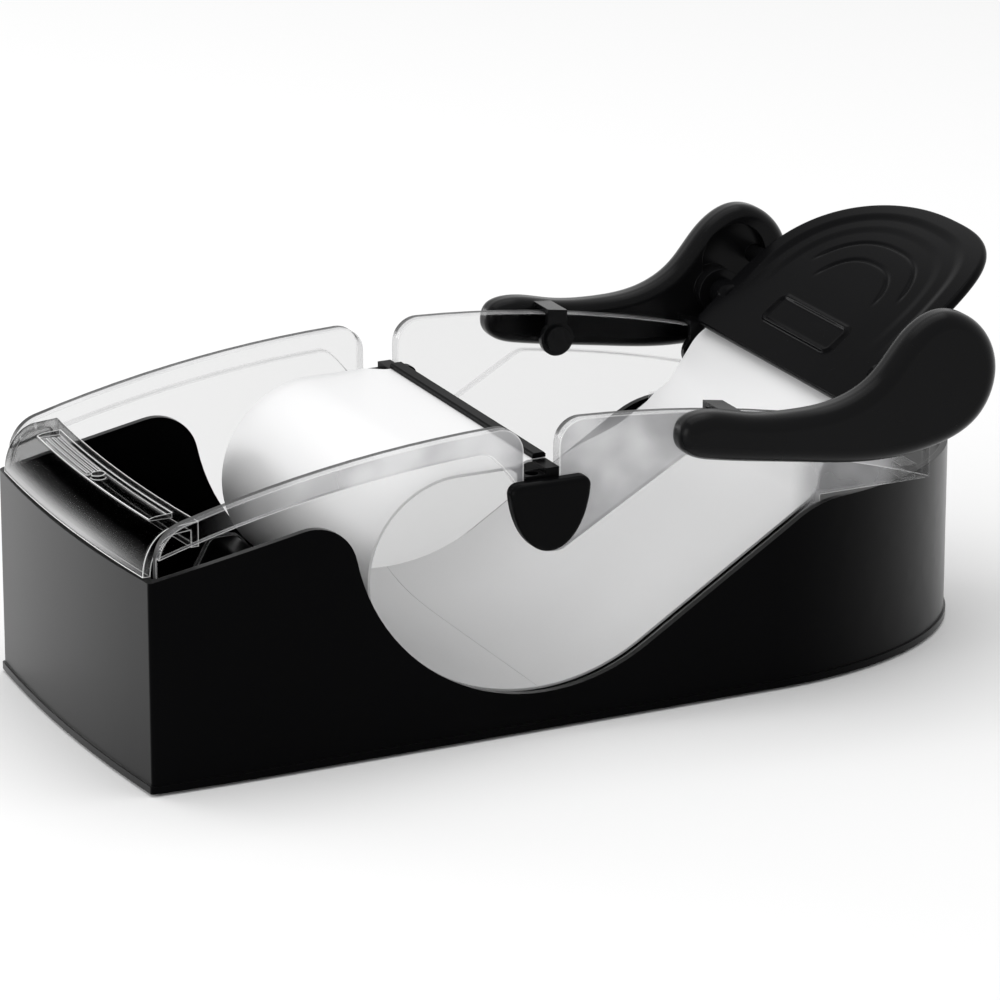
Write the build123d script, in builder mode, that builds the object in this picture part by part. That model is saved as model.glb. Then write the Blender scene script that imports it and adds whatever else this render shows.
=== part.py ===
"""Sushi roller: a tub with a trough, a clear guide frame, a rolling foil and a slider on curved rails.

Millimetres. +X runs from the open front to the handle, +Z is up, and the part is alike on both sides of
the XZ plane. The origin is on the table, under the middle of the part. Left is -Y, right is +Y.
"""

import os
from math import asin, atan2, cos, degrees, radians, sin, sqrt, tan

from build123d import *

# General fits
overrun = 30.0
body_gap = 0.3
shaft_play = 0.05

# Tub
base_length = 244.5
handle_overhang = 7.0
base_width = 100.0
base_wall = 1.8
stand_height = 0.8
front_bow = 2.5
front_pinch = 1.1
pinch_length = 35.0
rear_round = 71.0
corner_radius = 1.2
plinth_lip = 0.5
plinth_height = 1.8
front_height = 54.3
front_rise_angle = 10.6
shoulder_radius = 12.0
trough_from_front = 108.0
trough_radius = 52.5
trough_floor = 10.3
ramp_angle = 32.0
ramp_top_radius = 25.0
rear_height = 48.5

# Tray, ridge and deck inside the tub
deck_drop = 2.1
deck_thickness = 2.0
tray_floor = 11.0
ridge_height = 28.0
ridge_crest = 7.0
ridge_foot = 9.5
ridge_round = 2.5

# Feet
foot_radius = 5.0
foot_thickness = 2.0
foot_chamfer = 0.4
foot_boss_rim = 1.2
front_foot_setback = 16.0
front_foot_inset = 14.0
rear_foot_setback = 40.0
rear_foot_inset = 22.0

# Clear guide walls and their rails
rail_radius = 352.0
rail_crest = 79.7
rail_crest_from_front = 104.2
wall_play = 0.3
wall_thickness = 1.8
wall_front_setback = 5.2
wall_tuck_from_front = 186.0
wall_nose_radius = 9.5
wall_lift = 0.8
notch_from_front = 106.9
notch_width = 9.8
notch_floor = 60.0
notch_round = 6.5
band_thickness = 1.8
band_front = 5.6
band_rear = 10.5
apron_drop = 17.0
apron_front_run = 9.5
apron_rear_run = 41.0
apron_bulge = 3.5
apron_round = 5.0
rail_stop_height = 2.5
rail_stop_play = 0.4
rail_stop_length = 4.6
tie_length = 4.5
tie_height = 3.4
tie_from_wall_end = 1.5

# Clear front bridge
bridge_gap = 0.4
bridge_depth = 14.6
bridge_height = 12.2
bridge_wall = 2.0
bridge_skirt = 6.4
bridge_roll = 9.0
bridge_roll_drop = 0.4
groove_depth = 1.5
groove_front = 6.8
groove_length = 72.0
groove_width = 6.0
groove_rib_count = 3
groove_rib_width = 0.8
groove_rib_height = 0.8
groove_rib_margin = 3.0
groove_stud_radius = 1.8

# Foil
foil_thickness = 0.8
foil_side_gap = 0.4
foil_tail_gap = 3.7
foil_tail_height = 44.0
foil_bed_gap = 0.9
foil_loop_radius = 24.4
foil_level = 68.0
foil_rise_angle = 55.0
foil_bend_radius = 12.0
foil_turn_radius = 8.0

# Foil bar, clamp and caps
bar_play = 0.3
bar_depth = 3.6
bar_height = 5.4
bar_seat_gap = 0.1
bar_side_gap = 3.5
bar_end_height = 7.9
block_height = 6.4
block_length = 4.6
block_hole_radius = 1.7
block_hole_depth = 4.0
clamp_thickness = 1.3
cap_width = 22.0
cap_height = 18.3
cap_top = 65.8
cap_setback = 1.2
cap_thickness = 3.4
cap_gap = 0.4
cap_edge = 1.4
cap_corner = 2.5

# Slider arms
arm_tip_from_front = 138.5
arm_length = 92.0
arm_height = 36.3
arm_thickness = 9.0
arm_drop = 8.4
arm_low_from_tip = 55.2
arm_gap = 0.4
arm_edge = 4.0
arm_inner_edge = 3.4
arm_edge_limit_share = 0.1102
arm_pocket_radius = 9.5
arm_pocket_depth = 2.5
arm_pocket_from_end = 17.5
arm_pocket_height = 22.4
arm_nose_share = 92 / 363
arm_nose_top_shares = [(0.250, 0.375), (0.500, 0.500), (1.000, 0.530)]
arm_body_shares = [
    (0.242, 0.468), (0.384, 0.435), (0.524, 0.468), (0.625, 0.595), (0.720, 0.860), (0.837, 1.000),
    (0.953, 0.851), (0.999, 0.534), (0.943, 0.201), (0.793, 0.030), (0.600, 0.000), (0.386, 0.072),
]
arm_nose_low_shares = [(1.300, 0.180), (0.500, 0.250)]

# Hooks over the rail and the studs in them
hook_front_from_tip = 18.5
hook_rear_from_tip = 60.5
hook_radius = 4.65
hook_depth = 6.3
hook_top = 1.2
hook_neck_share = 0.6
tongue_thickness = 1.6
rail_ride_gap = 0.3
stud_radius = 3.5
stud_height = 1.2
stud_stem_radius = 1.6
stud_stem_length = 1.4

# Thumb plate, its pivot and its stops
pivot_from_end = 23.3
pivot_lift = 10.3
pivot_radius = 2.5
pivot_reach = 1.5
hub_radius = 4.0
hub_inset = 3.5
boss_radius = 6.2
boss_reach = 3.4
hub_gap = 0.6
plate_angle = 38.2
plate_length = 62.6
plate_flat = 24.0
plate_curl_radius = 78.0
plate_front_gap = 3.5
plate_side_gap = 2.4
plate_round_length = 45.0
plate_fullness = 2.43
plate_round_shares = [0.30, 0.55, 0.74, 0.87, 0.95, 0.985]
plate_thickness = 2.6
plate_pivot_setback = 11.5
plate_pivot_depth = 3.33
stop_radius = 2.4
stop_reach = 10.0
stop_share = 0.42

# Crossbar and foil clip on the slider
crossbar_from_tip = 67.5
crossbar_depth = 5.5
crossbar_thickness = 2.4
crossbar_gap = 0.4
clip_thickness = 1.4

# Places worked out from the sizes above
x_front = -(base_length + handle_overhang) / 2
x_rear = x_front + base_length
x_corner = x_front + front_bow
base_half = base_width / 2
front_half = base_half - front_pinch
bow_radius = (front_half**2 + front_bow**2) / (2 * front_bow)
far_x = base_length
trough_x = x_front + trough_from_front
trough_z = trough_floor + trough_radius
ramp_slope = radians(ramp_angle)
rise_slope = tan(radians(front_rise_angle))

rail_x = x_front + rail_crest_from_front
rail_z = rail_crest - rail_radius
wall_outer = base_half - base_wall - front_pinch - wall_play
wall_inner = wall_outer - wall_thickness
band_outer = wall_outer + band_thickness
wall_x = x_front + wall_front_setback
wall_tuck_x = x_front + wall_tuck_from_front
notch_x = x_front + notch_from_front
notch_front_x = notch_x - notch_width / 2
notch_rear_x = notch_x + notch_width / 2

arm_inner = base_half + arm_gap
arm_x = x_front + arm_tip_from_front
tongue_outer = wall_inner - body_gap
tongue_inner = tongue_outer - tongue_thickness
arm_end_x = arm_x + arm_length
pivot_x = arm_end_x - pivot_from_end
crossbar_x = arm_x + crossbar_from_tip
rail_stop_x = crossbar_x + crossbar_depth + rail_stop_play
wall_end_x = rail_stop_x + rail_stop_length
foil_width = 2 * (wall_inner - foil_side_gap)
foil_tail_half = wall_inner - foil_tail_gap
bar_width = 2 * (wall_inner - bar_side_gap)


def rail_height(x, depth=0.0):
    """Height of the rail's top edge at x, or of the arc that lies depth below it."""
    return rail_z + sqrt((rail_radius - depth) ** 2 - (x - rail_x) ** 2)


def rail_point(x, depth=0.0):
    """Point on the rail's arc, or on the arc that lies depth below it."""
    return (x, rail_height(x, depth))


def rail_arc(x_start, x_end, depth=0.0):
    """Stretch of the rail's arc between two places."""
    middle = (x_start + x_end) / 2
    return ThreePointArc(rail_point(x_start, depth), rail_point(middle, depth), rail_point(x_end, depth))


def side_plane(side, distance):
    """Upright plane along the tub, at a distance from its middle; side is -1 for left, 1 for right."""
    return Plane.XZ.offset(-side * distance)


def round_corner(sketch, point, radius):
    """Rounds the sketch's corner that lies nearest to a point."""
    fillet(sketch.vertices().sort_by_distance((*point, 0))[0], radius)


def save(builder, name):
    """Labels a finished piece and writes it."""
    builder.part.label = name
    export_step(builder.part, f"parts/{name}.step")


def plan_face(height, inset):
    """Plan of the tub at a height, drawn a distance in from its outer face."""
    half = base_half - inset
    front = half - front_pinch
    corner = x_corner + inset
    pinch_end = x_corner + pinch_length
    pinch_middle = (corner + pinch_end) / 2
    round_x = x_rear - rear_round
    with BuildSketch(Plane.XY.offset(height)) as plan:
        with BuildLine():
            ThreePointArc((corner, front), (x_front + inset, 0), (corner, -front))
            for side in (1, -1):
                ThreePointArc(
                    (corner, side * front),
                    (pinch_middle, side * (half - front_pinch / 4)),
                    (pinch_end, side * half),
                )
                Line((pinch_end, side * half), (round_x, side * half))
            EllipticalCenterArc((round_x, 0), rear_round - inset, half, start_angle=-90, arc_size=180)
        make_face()
        for side in (1, -1):
            round_corner(plan, (corner, side * front), corner_radius)
    return plan.sketch


def wall_profile():
    """Side view of the tub: rising front, shoulder, round trough, ramp and level rear."""
    lift = front_height + rise_slope * (trough_x - x_corner) - trough_z
    spread = 1 + rise_slope**2
    reach = sqrt((lift * rise_slope) ** 2 - spread * (lift**2 - trough_radius**2))
    shoulder_offset = (-lift * rise_slope - reach) / spread
    shoulder = (trough_x + shoulder_offset, trough_z + lift + rise_slope * shoulder_offset)
    ramp_start = (trough_x + trough_radius * sin(ramp_slope), trough_z - trough_radius * cos(ramp_slope))
    ramp_top = (ramp_start[0] + (rear_height - ramp_start[1]) / tan(ramp_slope), rear_height)
    front_low = front_height - rise_slope * (far_x + x_corner)
    with BuildSketch(Plane.XZ) as profile:
        with BuildLine():
            Polyline((far_x, 0), (-far_x, 0), (-far_x, front_low), shoulder)
            ThreePointArc(shoulder, (trough_x, trough_floor), ramp_start)
            Polyline(ramp_start, ramp_top, (far_x, rear_height), (far_x, 0))
        make_face()
        round_corner(profile, shoulder, shoulder_radius)
        round_corner(profile, ramp_top, ramp_top_radius)
    return profile.sketch


def deck_face(drop, close_z):
    """Side view of the space above or below the deck, whose surface lies drop under the wall's edge."""
    grow = drop - deck_drop
    radius = trough_radius + drop
    floor_z = tray_floor - grow
    crest_z = ridge_height - grow
    shift = grow * tan(atan2(ridge_height - tray_floor, ridge_foot) / 2)
    ridge_x = trough_x - sqrt((trough_radius + deck_drop) ** 2 - (trough_z - ridge_height) ** 2)
    rim = (trough_x - sqrt(radius**2 - (trough_z - crest_z) ** 2), crest_z)
    crest = (ridge_x - ridge_crest + shift, crest_z)
    foot = (crest[0] - ridge_foot, floor_z)
    ramp_start = (trough_x + radius * sin(ramp_slope), trough_z - radius * cos(ramp_slope))
    rear_z = rear_height - drop
    ramp_end = (ramp_start[0] + (rear_z - ramp_start[1]) / tan(ramp_slope), rear_z)
    with BuildSketch(Plane.XZ) as space:
        with BuildLine():
            Polyline((-far_x, close_z), (-far_x, floor_z), foot, crest, rim)
            ThreePointArc(rim, (trough_x, trough_z - radius), ramp_start)
            Polyline(ramp_start, ramp_end, (far_x, rear_z), (far_x, close_z), (-far_x, close_z))
        make_face()
        for corner in (foot, crest, rim):
            round_corner(space, corner, ridge_round)
    return space.sketch


os.makedirs("parts", exist_ok=True)
sides = {"left": -1, "right": 1}

# Tub: the hollow above the deck, the hollow under it, then the shell with posts for the feet
tub_top = trough_z + trough_radius
feet = {}
for name, side in sides.items():
    feet[f"foot_front_{name}"] = (x_front + front_foot_setback, side * (base_half - front_foot_inset), tray_floor)
    feet[f"foot_rear_{name}"] = (
        x_rear - rear_foot_setback,
        side * (base_half - rear_foot_inset),
        rear_height - deck_drop,
    )

with BuildPart() as tray_space:
    extrude(plan_face(0, base_wall), amount=tub_top)
    extrude(deck_face(deck_drop, tub_top), amount=base_width, both=True, mode=Mode.INTERSECT)

with BuildPart() as under_space:
    extrude(plan_face(0, base_wall), amount=tub_top)
    extrude(deck_face(deck_drop + deck_thickness, 0), amount=base_width, both=True, mode=Mode.INTERSECT)

with BuildPart() as base_shell:
    extrude(plan_face(stand_height, 0), amount=tub_top)
    extrude(wall_profile(), amount=base_width, both=True, mode=Mode.INTERSECT)
    extrude(plan_face(stand_height, -plinth_lip), amount=plinth_height)
    add(tray_space.part, mode=Mode.SUBTRACT)
    add(under_space.part, mode=Mode.SUBTRACT)
    for foot_x, foot_y, deck_z in feet.values():
        post_top = deck_z - deck_thickness / 2
        with BuildSketch(Plane.XY.offset(foot_thickness)):
            with Locations((foot_x, foot_y)):
                Circle(foot_radius + foot_boss_rim)
        extrude(amount=post_top - foot_thickness)
save(base_shell, "base_shell")

for name, (foot_x, foot_y, deck_z) in feet.items():
    with BuildPart() as foot:
        with BuildSketch(Plane.XY):
            with Locations((foot_x, foot_y)):
                Circle(foot_radius)
        extrude(amount=foot_thickness)
        chamfer(foot.faces().sort_by(Axis.Z)[0].edges(), foot_chamfer)
    save(foot, name)


def wall_face(plane, banded):
    """Side view of a clear wall, or of the thick band along its rail and round its notch."""
    overhang_z = rear_height + wall_lift
    stop_z = rail_height(rail_stop_x) + rail_stop_height
    nose = rail_point(wall_x)
    notch_front = rail_point(notch_front_x)
    notch_rear = rail_point(notch_rear_x)
    band_start = rail_point(wall_x - overrun, band_front)
    apron_start = rail_point(notch_front_x - apron_front_run, band_front)
    apron_low = (notch_x, notch_floor - apron_drop)
    apron_end = rail_point(notch_x + apron_rear_run, band_rear)
    band_end = rail_point(wall_end_x + overrun, band_rear)
    with BuildSketch(plane) as view:
        with BuildLine():
            Line((wall_x, 0), nose)
            rail_arc(wall_x, notch_front_x)
            Polyline(notch_front, (notch_front_x, notch_floor), (notch_rear_x, notch_floor), notch_rear)
            rail_arc(notch_rear_x, rail_stop_x)
            Polyline(
                rail_point(rail_stop_x),
                (rail_stop_x, stop_z),
                (wall_end_x, stop_z),
                (wall_end_x, overhang_z),
                (wall_tuck_x, overhang_z),
                (wall_tuck_x, 0),
                (wall_x, 0),
            )
        make_face()
        round_corner(view, nose, wall_nose_radius)
        round_corner(view, notch_front, notch_round)
        round_corner(view, notch_rear, notch_round)
        if banded:
            with BuildLine():
                rail_arc(band_start[0], apron_start[0], band_front)
                SagittaArc(apron_start, apron_low, apron_bulge)
                Line(apron_low, apron_end)
                rail_arc(apron_end[0], band_end[0], band_rear)
                Polyline(band_end, (band_end[0], -overrun), (band_start[0], -overrun), band_start)
            make_face(mode=Mode.SUBTRACT)
            for corner in (apron_start, apron_low, apron_end):
                round_corner(view, corner, apron_round)
    return view.sketch


# Clear guide walls: a thin plate inside the tub with a thicker band along the rail and round the notch
for name, side in sides.items():
    with BuildPart() as guide_wall:
        extrude(wall_face(side_plane(side, wall_inner), False), amount=-side * wall_thickness)
        extrude(wall_face(side_plane(side, wall_outer), True), amount=-side * band_thickness)
        seat_face = deck_face(deck_drop - body_gap, -overrun)
        extrude(seat_face, amount=base_width, both=True, mode=Mode.SUBTRACT)
    save(guide_wall, f"guide_wall_{name}")

# Clear bar that joins the two walls behind the foil
with BuildPart() as rear_tie:
    tie_x = wall_end_x - tie_from_wall_end - tie_length / 2
    with BuildSketch(Plane.XY.offset(rear_height + wall_lift)):
        with Locations((tie_x, 0)):
            Rectangle(tie_length, 2 * wall_inner)
    extrude(amount=tie_height)
save(rear_tie, "rear_tie")

# Clear front bridge: a rolled section turned about the axis of the bowed front, with a ribbed grip groove
bridge_x = x_front + bridge_gap
bridge_z = front_height + bridge_gap
bridge_top = bridge_z + bridge_height
bridge_end_x = bridge_x + bridge_depth
bow_axis = Axis((x_front + bow_radius, 0, 0), (0, 0, 1))
roll_top = (bridge_x + bridge_roll, bridge_top - bridge_roll_drop)
inner_roll_top = (roll_top[0], roll_top[1] - bridge_wall)
groove_floor = bridge_top - groove_depth
groove_x = x_front + groove_front

with BuildPart() as groove_space:
    with BuildSketch(Plane.XZ):
        with Locations((groove_x, groove_floor)):
            Rectangle(groove_width, overrun, align=(Align.MIN, Align.MIN))
    revolve(axis=bow_axis)
    with BuildSketch(Plane.XY):
        with Locations((x_front, 0)):
            Rectangle(bow_radius, groove_length)
    extrude(amount=base_width, mode=Mode.INTERSECT)
    rib_pitch = groove_width / (groove_rib_count + 1)
    rib_end = groove_length / 2 - groove_rib_margin
    rib_turn = degrees(asin((rib_end - groove_rib_margin) / bow_radius))
    rib_start = degrees(asin(groove_rib_margin / bow_radius))
    for rib in range(groove_rib_count):
        rib_plane = Plane.XZ.rotated((0, 0, -rib_start), ordering=Extrinsic.XYZ)
        rib_plane.origin = bow_axis.position
        with BuildSketch(rib_plane):
            with Locations((groove_x + (rib + 1) * rib_pitch - bow_axis.position.X, groove_floor)):
                Rectangle(groove_rib_width, groove_rib_height, align=(Align.CENTER, Align.MIN))
        revolve(axis=Axis(bow_axis.position, (0, 0, -1)), revolution_arc=rib_turn, mode=Mode.SUBTRACT)
    with BuildSketch(Plane.XY.offset(groove_floor)):
        with Locations((groove_x + groove_width / 2, 0)):
            Circle(groove_stud_radius)
    extrude(amount=groove_depth, mode=Mode.SUBTRACT)

with BuildPart() as front_bridge:
    with BuildSketch(Plane.XZ):
        with BuildLine():
            EllipticalCenterArc(
                (roll_top[0], bridge_z),
                bridge_roll,
                roll_top[1] - bridge_z,
                start_angle=90,
                arc_size=90,
            )
            Polyline(
                roll_top,
                (bridge_end_x, bridge_top),
                (bridge_end_x, bridge_top - bridge_skirt),
                (bridge_end_x - bridge_wall, bridge_top - bridge_skirt),
                (bridge_end_x - bridge_wall, bridge_top - bridge_wall),
                inner_roll_top,
            )
            EllipticalCenterArc(
                (roll_top[0], bridge_z),
                bridge_roll - bridge_wall,
                inner_roll_top[1] - bridge_z,
                start_angle=90,
                arc_size=90,
            )
            Line((bridge_x + bridge_wall, bridge_z), (bridge_x, bridge_z))
        make_face()
    revolve(axis=bow_axis)
    with BuildSketch(Plane.XY):
        with Locations((x_front, 0)):
            Rectangle(bow_radius, 2 * wall_inner)
    extrude(amount=base_width, mode=Mode.INTERSECT)
    add(groove_space.part, mode=Mode.SUBTRACT)
save(front_bridge, "front_bridge")

# Foil: from the bar round the loop, through the trough, up the ramp and on to the slider's crossbar
crossbar_z = rail_height(crossbar_x) + crossbar_gap
crossbar_top = crossbar_z + crossbar_thickness
foil_bed_radius = trough_radius + deck_drop - foil_bed_gap - foil_thickness / 2
foil_end = (crossbar_x + crossbar_depth, crossbar_top + body_gap + foil_thickness / 2)
loop_z = foil_level - foil_loop_radius
loop_reach = foil_bed_radius - foil_loop_radius
loop_x = trough_x - sqrt(loop_reach**2 - (trough_z - loop_z) ** 2)
loop_meet = (
    trough_x + (loop_x - trough_x) * foil_bed_radius / loop_reach,
    trough_z + (loop_z - trough_z) * foil_bed_radius / loop_reach,
)
rise = radians(foil_rise_angle)
bed_end = (trough_x + foil_bed_radius * sin(ramp_slope), trough_z - foil_bed_radius * cos(ramp_slope))
foil_turn = (crossbar_x - hook_radius - foil_turn_radius / 4, foil_end[1])
gap_x = foil_turn[0] - bed_end[0]
gap_z = foil_turn[1] - bed_end[1]
run_up = (gap_x * sin(rise) - gap_z * cos(rise)) / sin(rise - ramp_slope)
foil_bend = (bed_end[0] + run_up * cos(ramp_slope), bed_end[1] + run_up * sin(ramp_slope))
bar_end_x = notch_rear_x - bar_play

with BuildPart() as foil:
    with BuildLine(Plane.XZ) as foil_route:
        Line((bar_end_x, foil_level), (loop_x, foil_level))
        ThreePointArc((loop_x, foil_level), (loop_x - foil_loop_radius, loop_z), loop_meet)
        ThreePointArc(loop_meet, (trough_x, trough_z - foil_bed_radius), bed_end)
        FilletPolyline(bed_end, foil_bend, foil_turn, foil_end, radius=[foil_bend_radius, foil_turn_radius])
    with BuildSketch(Plane((bar_end_x, 0, foil_level), x_dir=(0, 1, 0), z_dir=(-1, 0, 0))):
        Rectangle(foil_width, foil_thickness)
    sweep(path=foil_route.wire())
    for side in (1, -1):
        with BuildSketch(side_plane(side, foil_tail_half)):
            with Locations((bar_end_x - bar_depth - body_gap, foil_tail_height)):
                Rectangle(far_x, rail_crest - foil_tail_height, align=(Align.MIN, Align.MIN))
        extrude(amount=-side * overrun, mode=Mode.SUBTRACT)
save(foil, "foil")

# Foil bar: a beam under the foil's end that runs out through the notches, with a socket block at each end
bar_top = foil_level - foil_thickness / 2 - bar_seat_gap
bar_x = bar_end_x - bar_depth / 2
block_floor = notch_floor + bar_play
block_width = notch_width - 2 * bar_play
block_outer = band_outer + cap_gap
bar_end_length = block_outer - bar_width / 2
with BuildPart() as foil_bar:
    with BuildSketch(Plane.XY.offset(bar_top - bar_height)):
        with Locations((bar_x, 0)):
            Rectangle(bar_depth, bar_width)
    extrude(amount=bar_height)
    for side in (1, -1):
        block_y = side * (block_outer - block_length / 2)
        with BuildSketch(Plane.XY.offset(block_floor)):
            with Locations((bar_x, side * (block_outer - bar_end_length / 2))):
                Rectangle(bar_depth, bar_end_length)
        extrude(amount=bar_end_height)
        with BuildSketch(Plane.XY.offset(block_floor)):
            with Locations((notch_x, block_y)):
                Rectangle(block_width, block_length)
        extrude(amount=block_height)
        with BuildSketch(Plane.XY.offset(block_floor + block_height)):
            with Locations((notch_x - bar_depth / 2, block_y)):
                Circle(block_hole_radius)
        extrude(amount=-block_hole_depth, mode=Mode.SUBTRACT)
save(foil_bar, "foil_bar")

# Slim strip that pinches the foil on the beam
clamp_floor = foil_level + foil_thickness / 2 + bar_seat_gap
with BuildPart() as bar_clamp:
    with BuildSketch(Plane.XY.offset(clamp_floor)):
        with Locations((bar_x, 0)):
            Rectangle(bar_depth, bar_width)
    extrude(amount=clamp_thickness)
    chamfer(bar_clamp.faces().sort_by(Axis.Z)[-1].edges().filter_by(Axis.Y), clamp_thickness / 3)
save(bar_clamp, "bar_clamp")

# D-shaped caps on the ends of the bar, outside the walls
cap_x = notch_x + cap_setback
for name, side in sides.items():
    with BuildPart() as bar_cap:
        with BuildSketch(side_plane(side, block_outer)):
            with BuildLine():
                EllipticalCenterArc((cap_x, cap_top), cap_width / 2, cap_height, start_angle=180, arc_size=180)
                Line((cap_x + cap_width / 2, cap_top), (cap_x - cap_width / 2, cap_top))
            cap_face = make_face()
            fillet(cap_face.vertices(), cap_corner)
        extrude(amount=-side * cap_thickness)
        outer_face = bar_cap.faces().sort_by(Axis.Y)[-1 if side > 0 else 0]
        fillet(outer_face.edges(), cap_edge)
    save(bar_cap, f"bar_cap_{name}")

# Thumb plate: a sheet that runs flat at the front, curls over to the rear and is cut to a fan outline
plate_slope = radians(plate_angle)
pivot_z = rail_height(pivot_x) + pivot_lift
plate_x = pivot_x - plate_pivot_setback * cos(plate_slope) - plate_pivot_depth * sin(plate_slope)
plate_z = pivot_z - plate_pivot_setback * sin(plate_slope) + plate_pivot_depth * cos(plate_slope)
plate_plane = Plane(
    (plate_x, 0, plate_z),
    x_dir=(cos(plate_slope), 0, sin(plate_slope)),
    z_dir=(-sin(plate_slope), 0, cos(plate_slope)),
)
plate_side_plane = Plane((plate_x, 0, plate_z), x_dir=plate_plane.x_dir, z_dir=(0, -1, 0))
plate_half = wall_inner - plate_side_gap
plate_front_half = wall_inner - plate_front_gap
round_start = plate_length - plate_round_length
boss_inner = arm_inner - boss_reach
hub_outer = boss_inner - hub_gap
hub_inner = plate_front_half - hub_inset
pin_inner = (hub_inner + hub_outer) / 2
pin_outer = arm_inner + pivot_reach

plate_curl = degrees(asin((plate_length - plate_flat) / plate_curl_radius))
fan_points = [(round_start, plate_half)]
for along in plate_round_shares:
    fan_width = plate_half * (1 - along**plate_fullness) ** (1 / plate_fullness)
    fan_points.append((round_start + along * plate_round_length, fan_width))
fan_points.append((plate_length, 0))
fan_points += [(along, -across) for along, across in reversed(fan_points[:-1])]

with BuildPart() as thumb_plate:
    with BuildSketch(plate_side_plane):
        with BuildLine():
            Polyline((plate_flat, -plate_thickness), (0, -plate_thickness), (0, 0), (plate_flat, 0))
            top_curl = JernArc((plate_flat, 0), (1, 0), plate_curl_radius, -plate_curl)
            low_curl = JernArc(
                (plate_flat, -plate_thickness), (1, 0), plate_curl_radius - plate_thickness, -plate_curl
            )
            Line(top_curl @ 1, low_curl @ 1)
        make_face()
    extrude(amount=base_width, both=True)
    with BuildSketch(plate_plane):
        with BuildLine():
            Spline(*fan_points, tangents=((1, 0), (-1, 0)))
            Polyline(fan_points[-1], (0, -plate_front_half), (0, plate_front_half), fan_points[0])
        make_face()
    extrude(amount=plate_length, both=True, mode=Mode.INTERSECT)
    for side in (1, -1):
        with BuildSketch(side_plane(side, hub_inner)):
            with Locations((pivot_x, pivot_z)):
                Circle(hub_radius)
        extrude(amount=-side * (hub_outer - hub_inner))
        with BuildSketch(side_plane(side, pin_inner)):
            with Locations((pivot_x, pivot_z)):
                Circle(pivot_radius)
        extrude(amount=-side * (hub_outer - pin_inner), mode=Mode.SUBTRACT)
save(thumb_plate, "thumb_plate")

# Pins that carry the plate in the bosses of the arms
for name, side in sides.items():
    with BuildPart() as pivot_pin:
        with BuildSketch(side_plane(side, pin_inner)):
            with Locations((pivot_x, pivot_z)):
                Circle(pivot_radius)
        extrude(amount=-side * (pin_outer - pin_inner))
    save(pivot_pin, f"pivot_pin_{name}")

# Slider arms: a horned outline with hooks over the rail, a pivot boss, a stop for the plate and a pocket
arm_z = rail_height(arm_x + arm_low_from_tip) - arm_drop
arm_nose = arm_height * arm_nose_share
arm_points = [(arm_x + along * arm_nose, arm_z + up * arm_height) for along, up in arm_nose_top_shares]
arm_points += [(arm_x + along * arm_length, arm_z + up * arm_height) for along, up in arm_body_shares]
arm_points += [(arm_x + along * arm_nose, arm_z + up * arm_height) for along, up in arm_nose_low_shares]
arm_edge_limit = arm_height * arm_edge_limit_share
stop_along = stop_share * plate_length
stop_drop = plate_curl_radius - sqrt(plate_curl_radius**2 - max(stop_along - plate_flat, 0) ** 2)
stop_depth = stop_drop + plate_thickness + body_gap + stop_radius
stop_x = plate_x + stop_along * cos(plate_slope) + stop_depth * sin(plate_slope)
stop_z = plate_z + stop_along * sin(plate_slope) - stop_depth * cos(plate_slope)
pocket_floor = arm_inner + arm_pocket_depth
hooks = {"front": arm_x + hook_front_from_tip, "rear": arm_x + hook_rear_from_tip}

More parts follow.
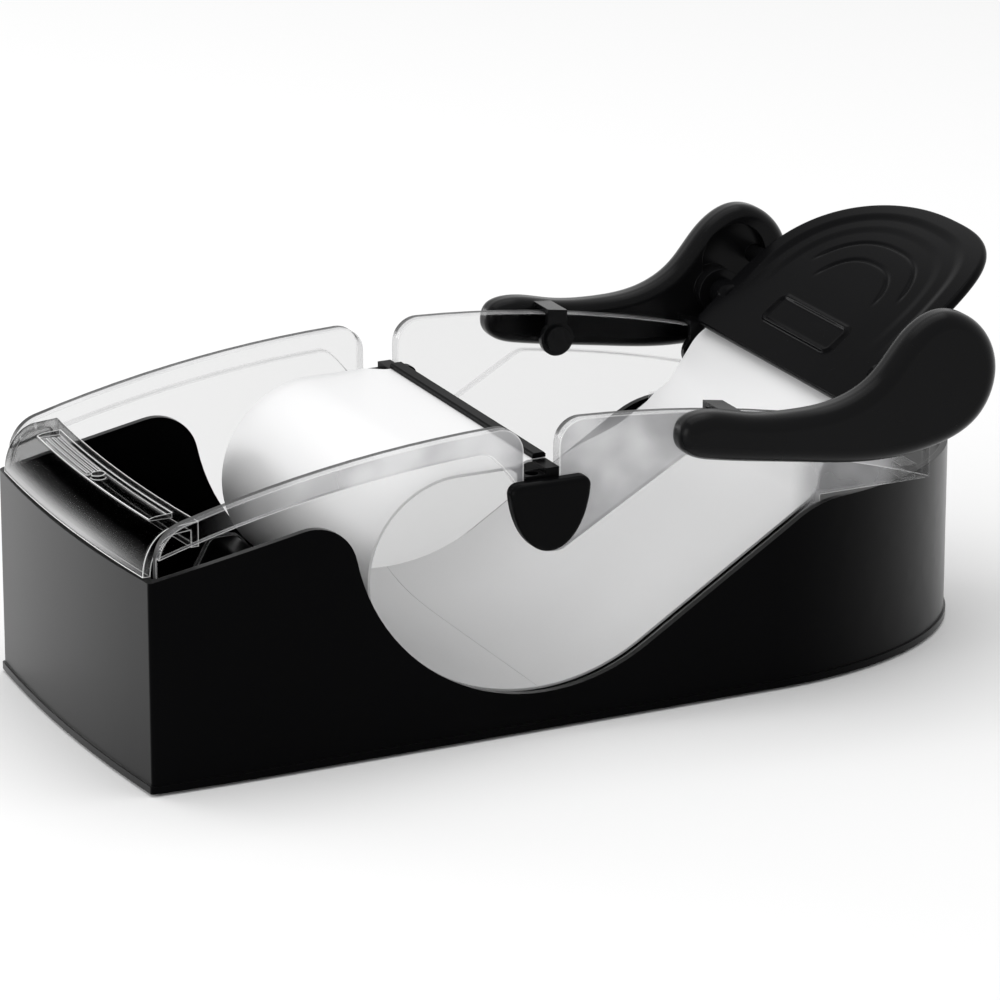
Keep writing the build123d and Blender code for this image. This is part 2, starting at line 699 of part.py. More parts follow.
for name, side in sides.items():
    with BuildPart() as arm:
        with BuildSketch(side_plane(side, arm_inner)):
            with BuildLine():
                Spline(*arm_points, periodic=True)
            make_face()
        extrude(amount=-side * arm_thickness)
        outer_face = arm.faces().filter_by(Plane.XZ).sort_by(Axis.Y)[-1 if side > 0 else 0]
        fillet(outer_face.edges(), min(arm_edge, arm_edge_limit))
        inner_face = arm.faces().filter_by(Plane.XZ).sort_by(Axis.Y)[0 if side > 0 else -1]
        fillet(inner_face.edges(), min(arm_inner_edge, arm_edge_limit))
        with BuildSketch(side_plane(side, arm_inner)):
            with Locations((arm_end_x - arm_pocket_from_end, arm_z + arm_pocket_height)):
                Circle(arm_pocket_radius)
        extrude(amount=-side * arm_pocket_depth, mode=Mode.SUBTRACT)
        with BuildSketch(side_plane(side, arm_inner - stop_reach)):
            with Locations((stop_x, stop_z)):
                Circle(stop_radius)
        extrude(amount=-side * (stop_reach + arm_pocket_depth + body_gap))
        with BuildSketch(side_plane(side, boss_inner)):
            with Locations((pivot_x, pivot_z)):
                Circle(boss_radius)
        extrude(amount=-side * (pocket_floor + body_gap - boss_inner))
        with BuildSketch(side_plane(side, boss_inner)):
            with Locations((pivot_x, pivot_z)):
                Circle(pivot_radius + shaft_play)
        extrude(amount=-side * (pin_outer + body_gap - boss_inner), mode=Mode.SUBTRACT)
        for hook_x in hooks.values():
            hook_start = hook_x - hook_radius * hook_neck_share
            hook_end = hook_x + hook_radius * hook_neck_share
            hook_high = -rail_ride_gap - hook_top
            neck_top = rail_height(hook_x, hook_high + hook_top / 2)
            tongue_z = rail_height(hook_x, hook_depth)
            with BuildSketch(side_plane(side, tongue_inner)):
                with BuildLine():
                    rail_arc(hook_start, hook_end, -rail_ride_gap)
                    Line(rail_point(hook_end, -rail_ride_gap), rail_point(hook_end, hook_high))
                    rail_arc(hook_start, hook_end, hook_high)
                    Line(rail_point(hook_start, hook_high), rail_point(hook_start, -rail_ride_gap))
                make_face()
            extrude(amount=-side * (arm_inner + arm_inner_edge - tongue_inner))
            with BuildSketch(side_plane(side, tongue_inner)):
                with Locations((hook_x, tongue_z)):
                    Circle(hook_radius)
                with Locations((hook_x, tongue_z)):
                    Rectangle(
                        2 * hook_radius * hook_neck_share,
                        neck_top - tongue_z,
                        align=(Align.CENTER, Align.MIN),
                    )
            extrude(amount=-side * tongue_thickness)
            with BuildSketch(side_plane(side, tongue_inner)):
                with Locations((hook_x, tongue_z)):
                    Circle(stud_stem_radius)
            extrude(amount=-side * stud_stem_length, mode=Mode.SUBTRACT)
    save(arm, f"arm_{name}")

# Round studs in the hooks, on the inner side of the rails
for end, hook_x in hooks.items():
    for name, side in sides.items():
        with BuildPart() as guide_stud:
            with BuildSketch(side_plane(side, tongue_inner - stud_height)):
                with Locations((hook_x, rail_height(hook_x, hook_depth))):
                    Circle(stud_radius)
            extrude(amount=-side * stud_height)
            with BuildSketch(side_plane(side, tongue_inner)):
                with Locations((hook_x, rail_height(hook_x, hook_depth))):
                    Circle(stud_stem_radius)
            extrude(amount=-side * stud_stem_length)
        save(guide_stud, f"guide_stud_{end}_{name}")

# Crossbar from arm to arm, and the strip that pinches the foil on it
with BuildPart() as slider_crossbar:
    with BuildSketch(Plane.XY.offset(crossbar_z)):
        with Locations((crossbar_x + crossbar_depth / 2, 0)):
            Rectangle(crossbar_depth, 2 * arm_inner)
    extrude(amount=crossbar_thickness)
save(slider_crossbar, "slider_crossbar")

with BuildPart() as foil_clip:
    with BuildSketch(Plane.XY.offset(foil_end[1] + foil_thickness / 2 + body_gap)):
        with Locations((crossbar_x + crossbar_depth / 2, 0)):
            Rectangle(crossbar_depth, 2 * foil_tail_half)
    extrude(amount=clip_thickness)
save(foil_clip, "foil_clip")
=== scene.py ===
import bpy
import numpy as np
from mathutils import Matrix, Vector


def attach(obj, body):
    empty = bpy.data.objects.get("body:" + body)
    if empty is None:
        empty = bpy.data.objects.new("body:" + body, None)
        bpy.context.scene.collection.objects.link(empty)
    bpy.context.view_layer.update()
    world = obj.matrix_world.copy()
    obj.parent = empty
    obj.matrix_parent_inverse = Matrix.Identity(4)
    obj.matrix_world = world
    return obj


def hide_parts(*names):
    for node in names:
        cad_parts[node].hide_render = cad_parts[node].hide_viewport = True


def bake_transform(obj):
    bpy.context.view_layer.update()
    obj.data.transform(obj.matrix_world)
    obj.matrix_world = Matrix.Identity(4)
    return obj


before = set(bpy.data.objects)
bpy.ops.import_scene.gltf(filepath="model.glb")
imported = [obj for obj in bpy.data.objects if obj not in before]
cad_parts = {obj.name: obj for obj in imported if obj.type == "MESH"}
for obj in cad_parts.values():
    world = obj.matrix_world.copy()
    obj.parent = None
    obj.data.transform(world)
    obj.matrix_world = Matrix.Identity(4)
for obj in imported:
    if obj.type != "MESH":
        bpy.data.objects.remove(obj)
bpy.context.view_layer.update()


# Tub: the black shell with the tray, the trough and the ramp that everything else stands in.
# It is satin polypropylene, moulded in one piece and open below.
# The mould leaves a fine even grain and slightly softened edges.
class Wire:
    """A socket in a material's graph. Arithmetic on it adds Math nodes."""

    def __init__(self, tree, socket=None):
        self.tree = tree
        self.socket = socket

    def node(self, kind, settings, sockets, output=0):
        """Adds a node: first its settings, then the values or links of its sockets."""
        made = self.tree.nodes.new(kind)
        for key, value in settings.items():
            setattr(made, key, value)
        for key, value in sockets.items():
            if isinstance(value, Wire):
                self.tree.links.new(value.socket, made.inputs[key])
            else:
                made.inputs[key].default_value = value
        return Wire(self.tree, made.outputs[output])

    def __add__(self, other):
        return self.node("ShaderNodeMath", {"operation": "ADD"}, {0: self, 1: other})

    def __sub__(self, other):
        return self.node("ShaderNodeMath", {"operation": "SUBTRACT"}, {0: self, 1: other})

    def __rsub__(self, other):
        return self.node("ShaderNodeMath", {"operation": "SUBTRACT"}, {0: other, 1: self})

    def __mul__(self, other):
        return self.node("ShaderNodeMath", {"operation": "MULTIPLY"}, {0: self, 1: other})

    def __pow__(self, other):
        return self.node("ShaderNodeMath", {"operation": "POWER"}, {0: self, 1: other})

    def __abs__(self):
        return self.node("ShaderNodeMath", {"operation": "ABSOLUTE"}, {0: self})


def ramp(value, low, high):
    """0 below low, 1 above high and a smooth rise between them."""
    settings = {"interpolation_type": "SMOOTHSTEP"}
    return value.node("ShaderNodeMapRange", settings, {"Value": value, "From Min": low, "From Max": high})


def mixed(factor, first, second):
    """The first colour, plain or a wire, where the factor is 0, and the second where it is 1."""
    base = first if isinstance(first, Wire) else (*first, 1.0)
    sockets = {"Factor": factor, 6: base, 7: (*second, 1.0)}
    return factor.node("ShaderNodeMix", {"data_type": "RGBA"}, sockets, 2)


def new_material(name):
    """An empty material with its Principled shader and a wire to start from."""
    material = bpy.data.materials.new(name)
    material.use_nodes = True
    tree = material.node_tree
    return material, tree.nodes["Principled BSDF"], Wire(tree)


def moulded_plastic(name, colour, roughness, specular, grain, edge, gloss=0.0):
    """Moulded plastic: faint clouds in colour and sheen, a fine grain and softened edges, in object space.

    The gloss is a thin skin that shows only where a face is seen at a low angle.
    """
    material, shader, start = new_material(name)
    place = start.node("ShaderNodeTexCoord", {}, {}, "Object")
    cloud = start.node("ShaderNodeTexNoise", {}, {"Vector": place, "Scale": 30.0, "Detail": 3.0}, "Fac")
    fine = start.node("ShaderNodeTexNoise", {}, {"Vector": place, "Scale": 2400.0, "Detail": 1.0}, "Fac")
    tint = mixed(cloud, [0.8 * c for c in colour], [1.2 * c for c in colour])
    sheen = cloud * 0.1 + (roughness - 0.05)
    soft = start.node("ShaderNodeBevel", {"samples": 6}, {"Radius": edge})
    bump = start.node(
        "ShaderNodeBump", {}, {"Strength": grain, "Distance": 0.0001, "Height": fine, "Normal": soft}
    )
    facing = start.node("ShaderNodeLayerWeight", {}, {"Blend": 0.5}, "Facing")
    skin = ramp(facing, 0.15, 0.75) * gloss
    for key, wire in (("Base Color", tint), ("Roughness", sheen), ("Normal", bump), ("Coat Weight", skin)):
        start.tree.links.new(wire.socket, shader.inputs[key])
    shader.inputs["Specular IOR Level"].default_value = specular
    shader.inputs["Coat Roughness"].default_value = roughness
    return material


def paint(material, *nodes):
    """Gives CAD nodes their finish."""
    for node in nodes:
        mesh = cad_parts[node].data
        mesh.materials.clear()
        mesh.materials.append(material)


tub_black = moulded_plastic("tub_black", (0.0015, 0.0015, 0.0017), 0.3, 0.02, 0.002, 0.0005, 0.65)
paint(tub_black, "base_shell")

# Feet: four round pads under the tub that keep it from sliding on the worktop.
# They are dull black rubber, pressed into the posts under the deck.
foot_rubber = moulded_plastic("foot_rubber", (0.012, 0.012, 0.012), 0.8, 0.1, 0.3, 0.0002)
paint(foot_rubber, "foot_front_left", "foot_front_right", "foot_rear_left", "foot_rear_right")

# Guide walls and rear tie: the clear sides of the lift-out frame, whose top edges are the slider's rails.
# They are polished clear plastic, moulded with a thicker band along the rail and round the notch.
# Light caught in the plastic leaves through the narrow faces, which show as grey and white lines; these
# lines, a dark line along the rail's edge and grey shade on the near wall's band and rear foot are painted
# light and shade.
RAIL_CENTRE = (-0.02155, -0.2723)
RAIL_RADIUS = 0.352
WALL_INNER = 0.0450
WALL_OUTER = 0.0486
BAND_FACE = 0.0478
EDGE_RADIUS = 0.0010
RAIL_DEPTH = (0.0055, 0.0035)
LINE_DEPTH = (0.0016, 0.0022)
FRONT_CORNER = (-0.112, -0.108)
NEAR_SIDE = (-0.03, 0.03)
BAND_START = (-0.112, -0.060)
BAND_END = (0.074, 0.082)
FOOT_START = (0.052, 0.060)
FOOT_END = (0.076, 0.084)
FOOT_TOP = (0.057, 0.063)


def clear_plastic(name, tint, grazing, edge_mask, edge_colour):
    """Clear plastic: tinted see-through, a mirror sheen at grazing angles, and under a mask an opaque coat in
    which light and shade are painted.
    """
    material, shader, start = new_material(name)
    facing = start.node("ShaderNodeLayerWeight", {}, {"Blend": 0.5}, "Facing")
    through = start.node("ShaderNodeBsdfTransparent", {}, {"Color": (*tint, 1.0)})
    mirror = start.node("ShaderNodeBsdfAnisotropic", {}, {"Roughness": 0.1})
    sheen = facing**5.0 * grazing
    body = start.node("ShaderNodeMixShader", {}, {0: sheen, 1: through, 2: mirror})
    start.tree.links.new(edge_colour(start).socket, shader.inputs["Base Color"])
    shader.inputs["Roughness"].default_value = 0.3
    shader.inputs["Specular IOR Level"].default_value = 0.1
    rim = Wire(start.tree, shader.outputs[0])
    whole = start.node("ShaderNodeMixShader", {}, {0: edge_mask(start), 1: body, 2: rim})
    start.tree.links.new(whole.socket, start.tree.nodes["Material Output"].inputs["Surface"])
    return material


def folds(start, radius, low, high):
    """0 on flat faces and up to 1 beside edges, found where the softened normal leaves the face's own one."""
    soft = start.node("ShaderNodeBevel", {"samples": 8}, {"Radius": radius})
    own = start.node("ShaderNodeNewGeometry", {}, {}, "True Normal")
    match = start.node("ShaderNodeVectorMath", {"operation": "DOT_PRODUCT"}, {0: soft, 1: own}, "Value")
    return ramp(1.0 - match, low, high)


def wall_place(start):
    """Where a point of the frame is: its object coordinates as a vector, then one by one."""
    place = start.node("ShaderNodeTexCoord", {}, {}, "Object")
    return place, *(start.node("ShaderNodeSeparateXYZ", {}, {0: place}, axis) for axis in "XYZ")


def wall_narrow(start):
    """Two masks: the faces across a wall's thickness, and the walls themselves without the tie."""
    y = wall_place(start)[2]
    normal = start.node("ShaderNodeNewGeometry", {}, {}, "True Normal")
    sideways = abs(start.node("ShaderNodeSeparateXYZ", {}, {0: normal}, "Y"))
    in_wall = ramp(abs(y), WALL_INNER - 0.0006, WALL_INNER - 0.0002)
    return (1.0 - ramp(sideways, 0.5, 0.9)) * in_wall, in_wall


def wall_line(start):
    """1 on the painted dark edge line, a painted shade on the far half of the narrow faces along the rail and
    the front corner.
    """
    place, x, y, z = wall_place(start)
    narrow, in_wall = wall_narrow(start)
    inside = y + WALL_OUTER - ramp(y, -0.01, 0.01) * (WALL_OUTER + WALL_INNER)
    reach = ((x - RAIL_CENTRE[0]) ** 2.0 + (z - RAIL_CENTRE[1]) ** 2.0) ** 0.5
    rail = ramp(reach, *(RAIL_RADIUS - depth for depth in RAIL_DEPTH)) + (1.0 - ramp(x, *FRONT_CORNER))
    return narrow * ramp(inside, *LINE_DEPTH) * rail


def wall_edge_mask(start):
    """How much painted light and shade covers a place: the painted dark edge line most, then the painted
    shade on the near band and rear foot, then the painted highlights on other edges.
    """
    place, x, y, z = wall_place(start)
    narrow, in_wall = wall_narrow(start)
    # Painted shade: the band and rear foot are greyed on the near wall only, the side that catches less
    # light.
    near = 1.0 - ramp(y, *NEAR_SIDE)
    outer = ramp(abs(y), BAND_FACE - 0.0003, BAND_FACE + 0.0003) * (1.0 - narrow)
    band = outer * near * ramp(x, *BAND_START) * (1.0 - ramp(x, *BAND_END))
    foot = near * in_wall * ramp(x, *FOOT_START) * (1.0 - ramp(z, *FOOT_TOP))
    # Painted highlights: white lines beside the edges.
    lit = folds(start, EDGE_RADIUS, 0.01, 0.2) * (1.0 - narrow)
    edges = (narrow * 0.25 + lit * 0.4) * (1.0 - foot * 0.7)
    painted_shade = band * (1.0 - lit * 0.5) * 0.6 + foot * (1.0 - ramp(x, *FOOT_END)) * 0.4
    return edges + wall_line(start) * 0.65 + painted_shade


def wall_edge_colour(start):
    """Painted shade nearly black on the edge line, painted highlights white on the other edges, and painted
    shade in cloudy grey on the band and foot.
    """
    place = wall_place(start)[0]
    cloud = start.node("ShaderNodeTexNoise", {}, {"Vector": place, "Scale": 45.0, "Detail": 2.0}, "Fac")
    # Painted shade: the grey laid on the band, the rear foot and the narrow faces.
    grey = mixed(ramp(cloud, 0.35, 0.7), (0.22, 0.22, 0.23), (0.68, 0.68, 0.69))
    lit = folds(start, EDGE_RADIUS, 0.01, 0.2)
    # Painted highlights: white beside the edges.
    broad = mixed(lit, grey, (0.9, 0.9, 0.9))
    return mixed(wall_line(start), broad, (0.05, 0.05, 0.05))


wall_clear = clear_plastic("wall_clear", (0.90, 0.90, 0.90), 0.8, wall_edge_mask, wall_edge_colour)
paint(wall_clear, "guide_wall_left", "guide_wall_right", "rear_tie")

# Front bridge: the rolled cross-piece at the open front that the frame is lifted by.
# It is the same clear plastic, moulded with a ribbed thumb groove and joined to both walls.
# Over the dark tray it reads as dark glass; the bright lines along its folds, the dark beside them and a
# reflection of the low box on its rolled front are painted.
LINE_RADIUS = 0.0007
SHADE_RADIUS = 0.0020
PAINTED_REFLECTION_FRONT = (-0.1190, -0.1140)
PAINTED_REFLECTION_HEIGHT = (0.0550, 0.0620)
PAINTED_REFLECTION_ACROSS = (-0.075, -0.005)


def bridge_light(start):
    """Painted highlights on folds and ribs, painted shade beside them, and a painted reflection of the low
    box low on the rolled front.
    """
    place, x, y, z = wall_place(start)
    # Painted reflection of the low box: low on the rolled front, fading across towards the near side.
    front = 1.0 - ramp(x, *PAINTED_REFLECTION_FRONT)
    painted_reflection = (1.0 - ramp(z, *PAINTED_REFLECTION_HEIGHT)) * front * ramp(y, *PAINTED_REFLECTION_ACROSS)
    # Painted highlights along the folds; painted shade beside them.
    line = folds(start, LINE_RADIUS, 0.03, 0.15)
    shade = folds(start, SHADE_RADIUS, 0.01, 0.10) * (1.0 - line)
    return line, shade, painted_reflection


def bridge_edge_mask(start):
    """Painted highlight lines nearly opaque, painted shade beside them, the painted reflection half
    see-through.
    """
    line, shade, painted_reflection = bridge_light(start)
    return line * 0.9 + shade * 0.7 + painted_reflection * (1.0 - shade) * 0.45


def bridge_edge_colour(start):
    """White painted highlights on the lines and white painted reflection low on the front, black painted
    shade beside the folds.
    """
    line, shade, painted_reflection = bridge_light(start)
    return mixed(line + painted_reflection * (1.0 - shade), (0.01, 0.01, 0.01), (0.9, 0.9, 0.9))


bridge_clear = clear_plastic("bridge_clear", (0.6, 0.6, 0.6), 0.02, bridge_edge_mask, bridge_edge_colour)
paint(bridge_clear, "front_bridge")

# Foil bar, clamp and caps: the lift-out bar that holds one end of the foil in the notches of the walls.
# They are black plastic; the clamp strip is snapped on over the foil and the caps are pressed on outside.
bar_black = moulded_plastic("bar_black", (0.002, 0.002, 0.0022), 0.3, 0.04, 0.003, 0.0003)
paint(bar_black, "foil_bar", "bar_clamp", "bar_cap_left", "bar_cap_right")

# Foil: the white sheet that does the rolling, clamped to the bar at one end and to the slider at the other.
# It is a smooth flexible plastic sheet, cut narrower at both ends and a little turned up on its far side.
# It hangs from the bar as a loop and runs up the ramp; its two pieces meet in the trough.
FOIL_THICKNESS = 0.0008
FOIL_EDGE = 0.00015
FOIL_LEVEL = 0.0680
FOIL_BAR_X = -0.01425
FOIL_HALF = 0.0446
FOIL_END_HALF = 0.0413
FOIL_LIFT = 0.0036
LIFT_TOP = (0.0330, 0.0440)
LIFT_FRONT = (-0.0560, -0.0400)
BAR_TAPER = (FOIL_BAR_X - 0.0100, FOIL_BAR_X - 0.0042)
SLIDER_TAPER = (0.0490, 0.0545)
LOOP_CENTRE = np.array([-0.03935, 0.0436])
LOOP_RADIUS = 0.0244
BED_CENTRE = np.array([-0.01775, 0.0628])
BED_RADIUS = 0.0533
BED_MEET = 221.63
RAMP_ANGLE = 32.0
RISE_ANGLE = 55.0
FOIL_BEND = np.array([0.05974, 0.04837])
FOIL_TURN = np.array([0.07360, 0.06816])
FOIL_END = np.array([0.08575, 0.06816])
BEND_RADIUS = 0.012
TURN_RADIUS = 0.012


def arc(centre, radius, start, end, count):
    """Points at equal angles on a circle in the XZ plane, angles in degrees."""
    angle = np.radians(np.linspace(start, end, count))[:, None]
    return centre + radius * np.hstack([np.cos(angle), np.sin(angle)])


def corner_arc(corner, before, after, radius, count):
    """Arc that rounds a corner between two headings, in degrees; its tangent points lie equally far off."""
    turn = np.radians(after - before)
    heading = np.radians(before)
    side = np.sign(turn)
    along = np.array([np.cos(heading), np.sin(heading)])
    left = np.array([-np.sin(heading), np.cos(heading)])
    start = corner - radius * abs(np.tan(turn / 2)) * along
    return arc(start + side * radius * left, radius, before - side * 90, after - side * 90, count)


def smooth(value, low, high):
    """0 below low, 1 above high and a smooth rise between them, for arrays."""
    share = np.clip((value - low) / (high - low), 0, 1)
    return share * share * (3 - 2 * share)


def spaced(points, count):
    """The same line with its points at equal distances."""
    run = np.r_[0, np.cumsum(np.linalg.norm(np.diff(points, axis=0), axis=1))]
    even = np.linspace(0, run[-1], count)
    return np.column_stack([np.interp(even, run, points[:, axis]) for axis in (0, 1)])


def add_grid(name, surface, wrap=False):
    """Links a mesh of quads over a grid of points; wrap joins the last column to the first."""
    rows, columns = surface.shape[:2]
    index = np.arange(rows * columns).reshape(rows, columns)
    if wrap:
        index = np.hstack([index, index[:, :1]])
    quads = np.stack([index[:-1, :-1], index[1:, :-1], index[1:, 1:], index[:-1, 1:]], axis=-1)
    mesh = bpy.data.meshes.new(name)
    mesh.from_pydata(surface.reshape(-1, 3), [], quads.reshape(-1, 4))
    mesh.validate()
    mesh.shade_smooth()
    piece = bpy.data.objects.new(name, mesh)
    bpy.context.scene.collection.objects.link(piece)
    return piece


def foil_sheet(name, line, columns):
    """Sheet along a line in the XZ plane, spread across Y.

    A point is the line's point, plus the share across times the half width along Y, plus the lift times the
    fourth power of that share, on the far side only, along the line's own left-hand normal. The half width
    falls to the end width by the bar and above the ramp, and the lift is full in the trough and on the ramp
    and zero elsewhere.
    """
    heading = np.gradient(line, axis=0)
    heading /= np.linalg.norm(heading, axis=1)[:, None]
    x, z = line[:, 0], line[:, 1]
    by_bar = smooth(x, *BAR_TAPER) * (z > LOOP_CENTRE[1]) * (x < 0)
    by_slider = smooth(z, *SLIDER_TAPER) * (x > BED_CENTRE[0])
    half = FOIL_HALF - (FOIL_HALF - FOIL_END_HALF) * np.maximum(by_bar, by_slider)
    lift = FOIL_LIFT * (1 - smooth(z, *LIFT_TOP)) * smooth(x, *LIFT_FRONT)
    across = np.linspace(-1, 1, columns)
    raised = lift[:, None] * np.maximum(across, 0)[None, :] ** 4
    surface = np.empty((len(line), columns, 3))
    surface[..., 0] = x[:, None] - heading[:, 1:] * raised
    surface[..., 1] = half[:, None] * across[None, :]
    surface[..., 2] = z[:, None] + heading[:, :1] * raised
    piece = add_grid(name, surface)
    thick = piece.modifiers.new("thickness", "SOLIDIFY")
    thick.thickness = FOIL_THICKNESS
    thick.offset = 0
    edge = piece.modifiers.new("edge", "BEVEL")
    edge.width = FOIL_EDGE
    edge.segments = 1
    edge.limit_method = "ANGLE"
    edge.angle_limit = np.radians(60)
    edge.harden_normals = True
    run = np.linalg.norm(np.diff(line, axis=0), axis=1)
    area = np.sum(run * (half[1:] + half[:-1]))
    return piece, run.sum(), area


loop_line = np.vstack([
    [[FOIL_BAR_X, FOIL_LEVEL]],
    arc(LOOP_CENTRE, LOOP_RADIUS, 90, BED_MEET, 80),
    arc(BED_CENTRE, BED_RADIUS, BED_MEET, 270, 40)[1:],
])
slider_line = np.vstack([
    arc(BED_CENTRE, BED_RADIUS, 270, 270 + RAMP_ANGLE, 40),
    corner_arc(FOIL_BEND, RAMP_ANGLE, RISE_ANGLE, BEND_RADIUS, 12),
    corner_arc(FOIL_TURN, RISE_ANGLE, 0, TURN_RADIUS, 24),
    [FOIL_END],
])
foil_loop, loop_length, loop_area = foil_sheet("foil_loop", spaced(loop_line, 160), 49)
foil_ramp, ramp_length, ramp_area = foil_sheet("foil_ramp", spaced(slider_line, 320), 49)
foil_white, foil_shader, foil_start = new_material("foil_white")
foil_place = foil_start.node("ShaderNodeTexCoord", {}, {}, "Object")
foil_cloud = foil_start.node(
    "ShaderNodeTexNoise", {}, {"Vector": foil_place, "Scale": 18.0, "Detail": 2.0}, "Fac"
)
foil_tint = mixed(foil_cloud, (0.75, 0.75, 0.755), (0.78, 0.78, 0.78))
foil_start.tree.links.new(foil_tint.socket, foil_shader.inputs["Base Color"])
foil_start.tree.links.new((foil_cloud * 0.1 + 0.4).socket, foil_shader.inputs["Roughness"])
foil_shader.inputs["Specular IOR Level"].default_value = 0.3
for piece in (foil_loop, foil_ramp):
    piece.data.materials.append(foil_white)
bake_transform(foil_loop)
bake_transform(foil_ramp)
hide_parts("foil")

# Slider arms, studs, crossbar and clip: the fork that straddles the rails and draws the foil along.
# The arms are satin black plastic with fully rounded edges; the studs are pressed into their hooks.
arm_black = moulded_plastic("arm_black", (0.003, 0.003, 0.0033), 0.27, 0.09, 0.003, 0.0004, 0.45)
paint(arm_black, "arm_left", "arm_right", "slider_crossbar", "foil_clip")
paint(arm_black, "pivot_pin_left", "pivot_pin_right")
paint(arm_black, *(f"guide_stud_{end}_{side}" for end in ("front", "rear") for side in ("left", "right")))

# Thumb plate: the scoop that the thumbs push, hung between the arms on two hubs.
# It is black plastic, moulded with a rim, a sunken thumb rest with two fine grooves and a bare framed panel.
PLATE_ORIGIN = (0.07035, 0.0701)
PLATE_ANGLE = np.radians(38.2)
PLATE_LENGTH = 0.0626
PLATE_FLAT = 0.0240
PLATE_CURL = 0.0780
PLATE_HALF = 0.0426
PLATE_FRONT_HALF = 0.0415
PLATE_ROUND = 0.0450
PLATE_FULLNESS = 2.43
PLATE_CORNER = 0.0020
PLATE_THICKNESS = 0.0026
PLATE_CENTRE = 0.0240
PLATE_EDGE = 0.0010
PANEL_PLACE = 0.0138
PANEL_SIZE = (0.0042, 0.0172)
PANEL_CORNER = 0.0020
PIVOT = (0.08145, 0.074593)
HUB_RADIUS = 0.0040
HUB_ENDS = (0.0380, 0.0464)
REST_START = (0.012, 0.034)
REST_STEPS = ((0.0006, 0.80, 0.88), (0.0003, 0.66, 0.74))
GROOVES = ((0.37, 0.026), (0.55, 0.030))
GROOVE_DEPTH = 0.0004
GROOVE_WIDTH = 0.014
GROOVE_FADE = 0.006
FRAME_HEIGHT = 0.0007
FRAME_WIDTH = 0.0006


def plate_outline(count):
    """Fan outline: straight front and sides, then a superellipse round the rear.

    On the superellipse the shares along and across, each to the power of the fullness, add up to 1.
    """
    turn = np.linspace(0, np.pi / 2, 200)
    along = PLATE_LENGTH - PLATE_ROUND + PLATE_ROUND * np.sin(turn) ** (2 / PLATE_FULLNESS)
    across = PLATE_HALF * np.cos(turn) ** (2 / PLATE_FULLNESS)
    corner = np.radians(np.linspace(180, 90, 8))
    front_along = PLATE_CORNER * (1 + np.cos(corner))
    front_across = PLATE_FRONT_HALF - PLATE_CORNER * (1 - np.sin(corner))
    front = np.column_stack([front_along, front_across])
    right = np.vstack([[[0, 0]], front, np.column_stack([along, across])])
    left = right[::-1] * (1, -1)
    return spaced(np.vstack([right, left[1:]]), count + 1)[:0:-1]


def plate_relief(along, across, share):
    """Height of the moulded detail: a sunken rest inside a rim, two grooves and a framed panel.

    The rest falls in smooth steps towards the centre, each groove is a bell-shaped dip round one share of
    the outline, and the frame is a bell-shaped ridge on the edge of a rounded rectangle.
    """
    rear = smooth(along, *REST_START)
    height = np.zeros_like(along)
    for depth, inner, outer in REST_STEPS:
        height -= depth * rear * (1 - smooth(share, inner, outer))
    for ring, low in GROOVES:
        groove = np.exp(-(((share - ring) / GROOVE_WIDTH) ** 2))
        height -= GROOVE_DEPTH * smooth(along, low, low + GROOVE_FADE) * groove
    beyond_along = np.abs(along - PANEL_PLACE) - PANEL_SIZE[0] + PANEL_CORNER
    beyond_across = np.abs(across) - PANEL_SIZE[1] + PANEL_CORNER
    outside = np.hypot(np.maximum(beyond_along, 0), np.maximum(beyond_across, 0))
    edge = outside + np.minimum(np.maximum(beyond_along, beyond_across), 0) - PANEL_CORNER
    return height + FRAME_HEIGHT * np.exp(-((edge / FRAME_WIDTH) ** 2))


def plate_skin(rings, spokes):
    """Closed skin of the plate over a share from the centre and a place round the outline.

    A point lies at its share of the way from the plate's centre to the outline. The top follows a straight
    line that turns into a circle at the rear, plus the relief; the edge is a half circle; the underside lies
    one thickness below. All of it is turned up by the plate's angle about its front edge.
    """
    outline = plate_outline(spokes)
    inset = 1 - PLATE_EDGE / PLATE_HALF
    top = np.linspace(0, 1, rings) * inset
    bend = np.linspace(np.pi / 2, -np.pi / 2, 9)[1:-1]
    share = np.r_[top, inset + (1 - inset) * np.cos(bend), top[::-2]]
    drop = np.r_[np.zeros(rings), 0.5 * PLATE_THICKNESS * (1 - np.sin(bend))]
    drop = np.r_[drop, np.full(len(share) - len(drop), PLATE_THICKNESS)]
    centre = np.array([PLATE_CENTRE, 0])
    flat = centre + share[:, None, None] * (outline - centre)
    along, across = flat[..., 0], flat[..., 1]
    curl = np.maximum(along - PLATE_FLAT, 0)
    tilt = np.arcsin(curl / PLATE_CURL)
    depth = drop[:, None] - plate_relief(along, across, share[:, None]) * (drop[:, None] == 0)
    run = along - depth * np.sin(tilt)
    rise = -PLATE_CURL * (1 - np.cos(tilt)) - depth * np.cos(tilt)
    x = PLATE_ORIGIN[0] + run * np.cos(PLATE_ANGLE) - rise * np.sin(PLATE_ANGLE)
    z = PLATE_ORIGIN[1] + run * np.sin(PLATE_ANGLE) + rise * np.cos(PLATE_ANGLE)
    return np.stack([x, across, z], axis=-1)


def hub_skin(side):
    """Round hub: a circle about the pivot swept along Y, drawn in to the axis at both ends."""
    radius = HUB_RADIUS * np.array([0, 0.9, 1, 1, 0.9, 0])
    reach = np.array([0, 0, 0.05, 0.95, 1, 1])
    y = side * (HUB_ENDS[0] + reach * (HUB_ENDS[1] - HUB_ENDS[0]))
    turn = np.linspace(0, 2 * np.pi, 40, endpoint=False) * side
    x = PIVOT[0] + radius[:, None] * np.cos(turn)
    z = PIVOT[1] + radius[:, None] * np.sin(turn)
    return np.stack([x, np.broadcast_to(y[:, None], x.shape), z], axis=-1)


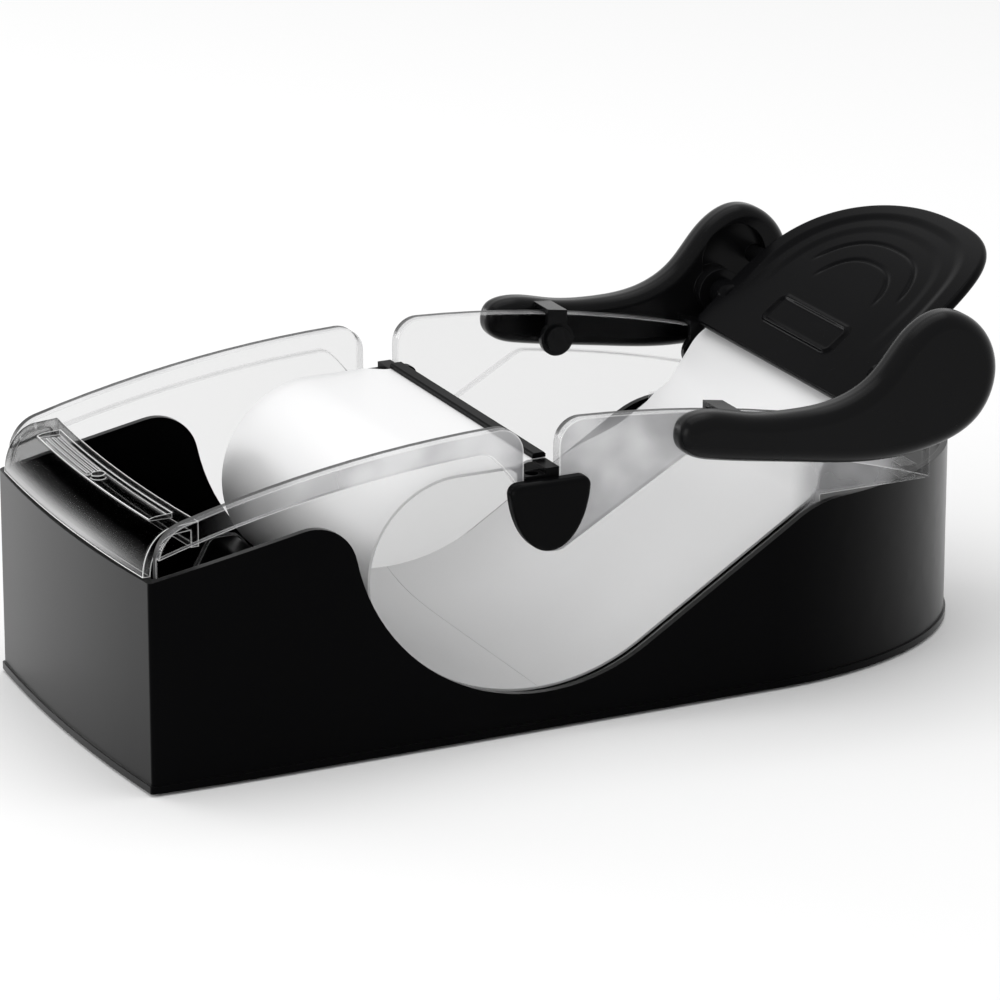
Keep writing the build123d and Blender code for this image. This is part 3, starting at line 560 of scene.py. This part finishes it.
plate_black = moulded_plastic("plate_black", (0.003, 0.003, 0.0033), 0.2, 0.02, 0.003, 0.0002)
plate = add_grid("thumb_plate_skin", plate_skin(151, 320), wrap=True)
hub_left = add_grid("thumb_plate_hub_left", hub_skin(-1), wrap=True)
hub_right = add_grid("thumb_plate_hub_right", hub_skin(1), wrap=True)
for piece in (plate, hub_left, hub_right):
    piece.data.materials.append(plate_black)
    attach(piece, "plate")
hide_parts("thumb_plate")

# Studio: a pale floor under a white sky, a broad box overhead and a bright one low at the far left.
# The low box is mirrored in the bowed front; along the clear bridge a reflection of it is painted.
floor_mesh = bpy.data.meshes.new("studio_floor")
floor_mesh.from_pydata([(-6, -6, 0), (6, -6, 0), (6, 6, 0), (-6, 6, 0)], [], [(0, 1, 2, 3)])
floor = bpy.data.objects.new("studio_floor", floor_mesh)
bpy.context.scene.collection.objects.link(floor)
floor_paint, floor_shader, _ = new_material("floor_white")
floor_shader.inputs["Base Color"].default_value = (0.83, 0.83, 0.83, 1.0)
floor_shader.inputs["Roughness"].default_value = 0.9
floor_shader.inputs["Specular IOR Level"].default_value = 0.0
floor_mesh.materials.append(floor_paint)

sky = bpy.data.worlds.new("studio_sky")
sky.use_nodes = True
sky.node_tree.nodes["Background"].inputs["Color"].default_value = (1, 1, 1, 1)
sky.node_tree.nodes["Background"].inputs["Strength"].default_value = 0.85
bpy.context.scene.world = sky


def softbox(name, place, target, size, power):
    """Area light of a size in metres at a place, turned towards a target."""
    lamp = bpy.data.lights.new(name, "AREA")
    lamp.shape = "RECTANGLE"
    lamp.size, lamp.size_y = size
    lamp.energy = power
    holder = bpy.data.objects.new(name, lamp)
    holder.location = place
    holder.rotation_euler = (Vector(target) - Vector(place)).to_track_quat("-Z", "Y").to_euler()
    bpy.context.scene.collection.objects.link(holder)


softbox("top_box", (0.0, 0.1, 1.2), (0, 0, 0), (1.2, 1.0), 6)
softbox("left_box", (-0.75, 0.95, 0.2), (-0.1, 0, 0.05), (0.6, 0.3), 4)
softbox("front_box", (-1.2, -0.3, 0.35), (0, 0, 0.05), (0.6, 0.6), 4)

camera = bpy.data.cameras.new("photo_camera")
camera.lens = 36.0 * 5.861
camera.sensor_width = 36.0
camera.clip_end = 20
eye = bpy.data.objects.new("photo_camera", camera)
eye.location = (-0.62415, -1.2675, 0.5191)
eye.rotation_euler = np.radians([90 - 18.64, 0, -25.98])
bpy.context.scene.collection.objects.link(eye)
bpy.context.scene.camera = eye
bpy.context.scene.view_settings.view_transform = "Standard"
